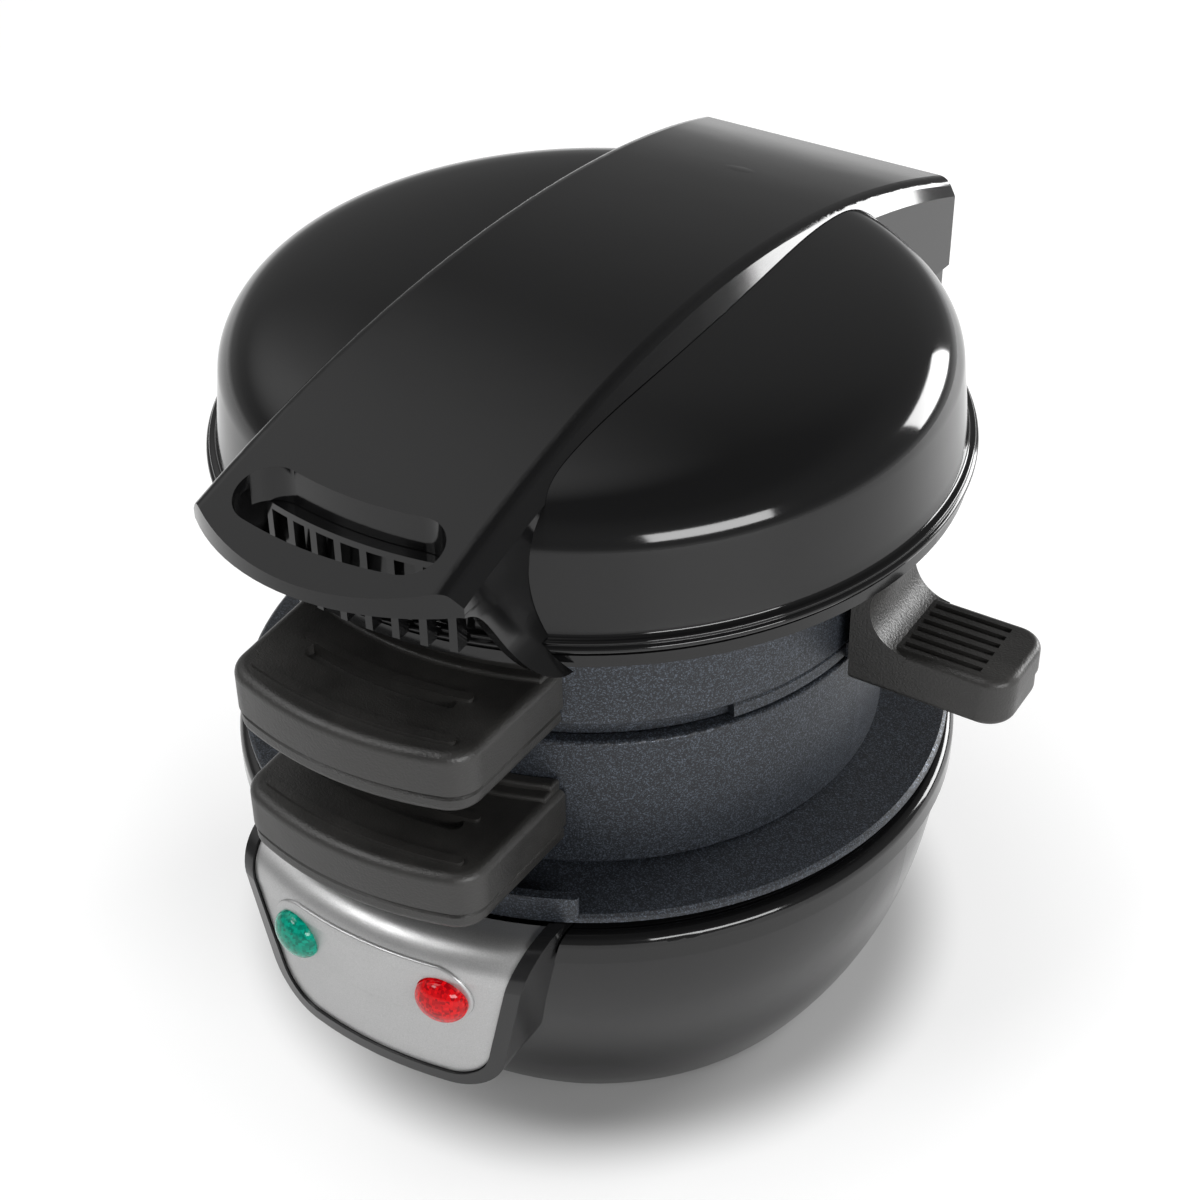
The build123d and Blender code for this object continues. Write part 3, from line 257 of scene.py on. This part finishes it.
def nonstick(name, tone=(0.007, 0.0085, 0.0115), flake=(0.105, 0.122, 0.15)):
    """Dark non-stick coating full of very fine metallic flakes of every brightness."""
    s = Shade(name, IOR=1.45)
    specks = s.specks(0.19 * MM)
    flakes = s.ramp(specks[0], (0.55, 0.0), (0.90, 0.6), (1.0, 1.0))
    base = s.ramp(s.noise(20 * MM), (0.3, scaled(tone, 0.9)), (0.7, scaled(tone, 1.12)))
    mix = s.node("ShaderNodeMix")
    mix.data_type = "RGBA"
    s.feed(flakes, mix.inputs["Factor"])
    s.feed(base, mix.inputs["A"])
    s.feed((*flake, 1.0), mix.inputs["B"])
    s.set("Base Color", mix.outputs["Result"])
    s.set("Metallic", s.span(flakes, 0.0, 0.7))
    s.set("Roughness", s.span(flakes, 0.50, 0.34))
    fine = s.bump(s.noise(0.4 * MM, 2.0, 0.6), 0.06 * MM, 0.5)
    s.set("Normal", s.bump(specks[1], 0.03 * MM, 0.6, fine))
    return s.material


def silver_paint(name):
    """Satin silver paint: fine metallic grain."""
    s = Shade(name, Metallic=0.75, IOR=1.5)
    grain = s.noise(0.22 * MM, 3.0, 0.7)
    s.set("Base Color", s.ramp(grain, (0.25, 0.36), (0.75, 0.50)))
    s.set("Roughness", s.vary(s.noise(8 * MM), 0.33, 0.42))
    s.set("Normal", s.bump(grain, 0.02 * MM, 0.4))
    return s.material


def steel(name, tone=0.55, rough=0.28):
    """Drawn or stamped bright metal, clouded a little."""
    s = Shade(name, Metallic=1.0)
    s.set("Base Color", s.ramp(s.noise(2 * MM, 4.0), (0.3, tone * 0.9), (0.7, tone * 1.08)))
    s.set("Roughness", s.vary(s.noise(0.6 * MM), rough * 0.8, rough * 1.3))
    return s.material


def plain_plastic(name, colour, rough):
    """Plain moulded part, seen little or from the back."""
    s = Shade(name, IOR=1.48)
    s.set("Base Color", s.ramp(s.noise(6 * MM, 4.0), (0.3, scaled(colour, 0.92)), (0.7, colour)))
    s.set("Roughness", s.vary(s.noise(3 * MM), rough * 0.85, rough * 1.15))
    s.set("Normal", s.bump(s.noise(0.8 * MM, 2.0), 0.03 * MM, 0.4))
    return s.material


def lens_plastic(name, dark, bright, glow):
    """Moulded lens that glows: a cross-hatched sparkle from the small pyramids on its inside is
    painted into its colour and glow, cell by cell.
    """
    s = Shade(name, Roughness=0.09, IOR=1.32, Emission_Strength=glow)
    painted_sparkle_cells = s.specks(0.55 * MM, randomness=0.2, distance="MANHATTAN")
    # Painted sparkle: each pyramid cell is painted lighter or darker, in both the colour and the
    # glow.
    tone = s.ramp(painted_sparkle_cells[0], (0.1, dark), (0.9, bright))
    s.set("Base Color", tone)
    s.set("Emission Color", tone)
    s.set("Normal", s.bump(s.noise(2 * MM, 1.0), 0.03 * MM, 0.4))
    return s.material


materials = {
    "gloss_black": gloss_black("gloss_black"),
    "matte_black": matte_black("matte_black"),
    "nonstick": nonstick("nonstick"),
    "silver": silver_paint("silver"),
    "green_lens": lens_plastic("green_lens", (0.0, 0.10, 0.068), (0.0, 0.20, 0.135), 0.55),
    "red_lens": lens_plastic("red_lens", (0.18, 0.0, 0.002), (0.44, 0.002, 0.004), 0.66),
    "lamp_glass": plain_plastic("lamp_glass", (0.8, 0.8, 0.75), 0.1),
    "steel": steel("steel"),
    "tin": steel("tin", 0.68, 0.22),
    "rubber": plain_plastic("rubber", (0.02, 0.02, 0.02), 0.7),
    "white_plastic": plain_plastic("white_plastic", (0.75, 0.74, 0.70), 0.4),
}


def dress_nodes():
    """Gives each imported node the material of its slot; two large ones get a gloss of their own."""
    own = {
        "base_shell": gloss_black("bowl_black", tone=0.010, rough=(0.13, 0.20), peel=0.005 * MM),
        "lid_strap": gloss_black("strap_black", rough=(0.09, 0.13), ior=1.40),
    }
    for part in frame["record"]["subparts"]:
        obj = nodes[part["node"]]
        obj.data.materials.clear()
        obj.data.materials.append(own.get(part["node"], materials[part["material_slot"]]))


# ---- Turned pieces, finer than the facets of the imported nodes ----

def turned(profile, foot, side, up, out, segments):
    """Closed solid of revolution about an axis through foot; the profile starts and ends on it."""
    form = bmesh.new()
    rings = []
    for radius, height in profile:
        middle = foot + out * height * MM
        if radius == 0:
            rings.append([form.verts.new(middle)] * segments)
            continue
        turn = [2 * math.pi * k / segments for k in range(segments)]
        rings.append([form.verts.new(middle + (side * math.cos(a) + up * math.sin(a)) * radius * MM)
                      for a in turn])
    for low, high in zip(rings, rings[1:]):
        for k in range(segments):
            after = (k + 1) % segments
            corners = [low[k], low[after], high[after], high[k]]
            form.faces.new([v for n, v in enumerate(corners) if v not in corners[:n]])
    bmesh.ops.recalc_face_normals(form, faces=form.faces)
    return form


def piece_from(form, name, body, slot, material, *replaced):
    """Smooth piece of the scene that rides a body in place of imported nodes."""
    mesh = bpy.data.meshes.new(name)
    form.to_mesh(mesh)
    form.free()
    for face in mesh.polygons:
        face.use_smooth = True
    mesh.materials.append(material)
    piece = bpy.data.objects.new(name, mesh)
    bpy.context.scene.collection.objects.link(piece)
    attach(piece, body)
    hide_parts(*replaced)


def curve_through(points, start, end, steps=14):
    """Smooth curve through points by cubic pieces, with a given direction at each end."""
    spots = [Vector(p) for p in points]
    slopes = [Vector(start)] + [(b - a) / 2 for a, b in zip(spots, spots[2:])] + [Vector(end)]
    found = [tuple(spots[0])]
    for k, (a, b) in enumerate(zip(spots, spots[1:])):
        reach = (b - a).length
        leave, arrive = slopes[k].normalized() * reach, slopes[k + 1].normalized() * reach
        for n in range(1, steps + 1):
            t = n / steps
            found.append(tuple(a * (2 * t**3 - 3 * t**2 + 1) + leave * (t**3 - 2 * t**2 + t)
                               + b * (3 * t**2 - 2 * t**3) + arrive * (t**3 - t**2)))
    return found


def make_dome():
    """Lid cover with its rolled double flange."""
    low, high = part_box("lid_dome")
    bottom, top = low[2] / MM, high[2] / MM
    points = [(radius, top - drop) for radius, drop in DOME_TOP_OUTLINE]
    points.append((DOME_WALL_RADIUS, bottom + DOME_WALL_HEIGHT))
    outward, down = (1, 0), (0.12, -1)
    outside = curve_through(points, outward, down)
    outside += [(radius, bottom + height) for radius, height in DOME_FOOT]
    inside = curve_through([(r - DOME_WALL * r / DOME_WALL_RADIUS, z - DOME_WALL)
                            for r, z in points], outward, down)
    axis = Vector((*ring_axis(), 0))
    form = turned(outside + inside[::-1], axis, Vector((1, 0, 0)), Vector((0, 1, 0)),
                  Vector((0, 0, 1)), DOME_SEGMENTS)
    piece_from(form, "lid_dome_shell", "lid", "gloss_black", materials["gloss_black"],
               "lid_dome")


def make_lens(node, angle, slot):
    """Round lens that stands proud of the panel like a small dome."""
    low, high = (Vector(c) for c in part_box(node))
    out = heading(angle, LENS_TILT)
    side = Vector((0, 0, 1)).cross(out).normalized()
    up = out.cross(side)
    centre = (low + high) / 2 - Vector((0, 0, LENS_DROP * MM))
    from_axis = centre - Vector((*ring_axis(), centre.z))
    foot = centre + out * (LENS_FACE * MM - from_axis.dot(out))
    profile = [(0.0, -LENS_DEPTH), (LENS_RADIUS - LENS_BACK_INSET, -LENS_DEPTH),
               (LENS_RADIUS - LENS_DRAFT, LENS_STRAIGHT - LENS_DEPTH), (LENS_RADIUS, LENS_STRAIGHT)]
    steps = 14
    for k in range(1, steps):
        t = k * math.pi / 2 / steps
        profile.append((LENS_RADIUS * math.cos(t), LENS_STRAIGHT + LENS_CROWN * math.sin(t)))
    profile.append((0.0, LENS_STRAIGHT + LENS_CROWN))
    piece_from(turned(profile, foot, side, up, out, LENS_SEGMENTS), node + "_dome", "base", slot,
               materials[slot], node)


# ---- Studio ----

def make_floor():
    """White table: it takes the shadow near the object, darkened further there by a painted shade
    where its glow is held low, and fades to plain white further out.
    """
    mesh = bpy.data.meshes.new("floor")
    form = bmesh.new()
    bmesh.ops.create_circle(form, cap_ends=True, radius=FLOOR_RADIUS, segments=96)
    form.to_mesh(mesh)
    form.free()
    floor = bpy.data.objects.new("floor", mesh)
    floor.location = (*ring_axis(), 0)
    bpy.context.scene.collection.objects.link(floor)
    s = Shade("floor", Base_Color=(FLOOR_TONE,) * 3, Roughness=0.55, IOR=1.3,
              Emission_Color=(1, 1, 1))
    mesh.materials.append(s.material)
    path = s.node("ShaderNodeLightPath").outputs
    seen = s.math("MAXIMUM", path["Is Camera Ray"], path["Is Glossy Ray"])
    seen = s.math("MAXIMUM", seen, path["Is Transmission Ray"])
    distance = s.combine("ShaderNodeVectorMath", "LENGTH", s.coords).outputs["Value"]
    # The glow rises only away from the object, so the floor near it is darker by painted shade as
    # well as by its real shadow.
    glow_painted_shade_edge, glow_painted_shade_fade = (s.span(distance, 0.0, glow, start, end, "SMOOTHSTEP")
                 for start, end, glow in (FLOOR_GLOW_PAINTED_SHADE_EDGE, FLOOR_GLOW_PAINTED_SHADE_FADE))
    s.set("Emission Strength", s.math("MULTIPLY", seen, s.math("ADD", glow_painted_shade_edge, glow_painted_shade_fade)))


def make_world():
    """Dim room, light below the horizon, with one broad soft light high on the left."""
    world = bpy.data.worlds.new("studio")
    bpy.context.scene.world = world
    world.use_nodes = True
    n = Nodes(world.node_tree)
    way = n.node("ShaderNodeTexCoord").outputs["Generated"]
    height = n.node("ShaderNodeSeparateXYZ", Vector=way).outputs["Z"]
    room = n.ramp(n.span(height, 0.0, 1.0, WORLD_LOWEST),
                  *(((z - WORLD_LOWEST) / (1 - WORLD_LOWEST), tone) for z, tone in WORLD_TONES))
    toward = n.combine("ShaderNodeVectorMath", "DOT_PRODUCT", way, heading(*SOFT_LIGHT_WAY))
    soft = n.span(toward.outputs["Value"], 0.0, SOFT_LIGHT_TONE,
                  math.cos(math.radians(SOFT_LIGHT_EDGE)), math.cos(math.radians(SOFT_LIGHT_CORE)),
                  "SMOOTHSTEP")
    light = n.combine("ShaderNodeVectorMath", "ADD", room, soft).outputs["Vector"]
    n.feed(light, n.tree.nodes["Background"].inputs["Color"])


def softbox(name, azimuth, elevation, distance, size, radiance):
    """Rectangular lamp that faces the object from a direction, of a given brightness."""
    data = bpy.data.lights.new(name, "AREA")
    data.shape = "RECTANGLE"
    data.size, data.size_y = size
    data.energy = radiance * math.pi * size[0] * size[1]
    light = bpy.data.objects.new(name, data)
    way = heading(azimuth, elevation)
    light.location = Vector((*ring_axis(), LAMP_AIM_HEIGHT)) + way * distance
    light.rotation_euler = way.to_track_quat("Z", "Y").to_euler()
    bpy.context.scene.collection.objects.link(light)


def make_lights():
    """Two high lamps in front on the left, one low on the right and one low at the rear right."""
    softbox("key", 212, 43, distance=1.10, size=(0.34, 0.26), radiance=11.0)
    softbox("high_left", 236, 64, distance=1.10, size=(0.46, 0.46), radiance=4.0)
    softbox("right_box", 116, 18, distance=1.00, size=(0.62, 0.24), radiance=15.0)
    softbox("rear_box", 30, 13, distance=1.00, size=(0.50, 0.30), radiance=17.0)


make_camera()
dress_nodes()
make_dome()
make_lens("preheat_lens", FRONT + LENS_SPREAD, "green_lens")
make_lens("power_lens", FRONT - LENS_SPREAD, "red_lens")
make_floor()
make_world()
make_lights()
bpy.context.scene.view_settings.view_transform = "Standard"
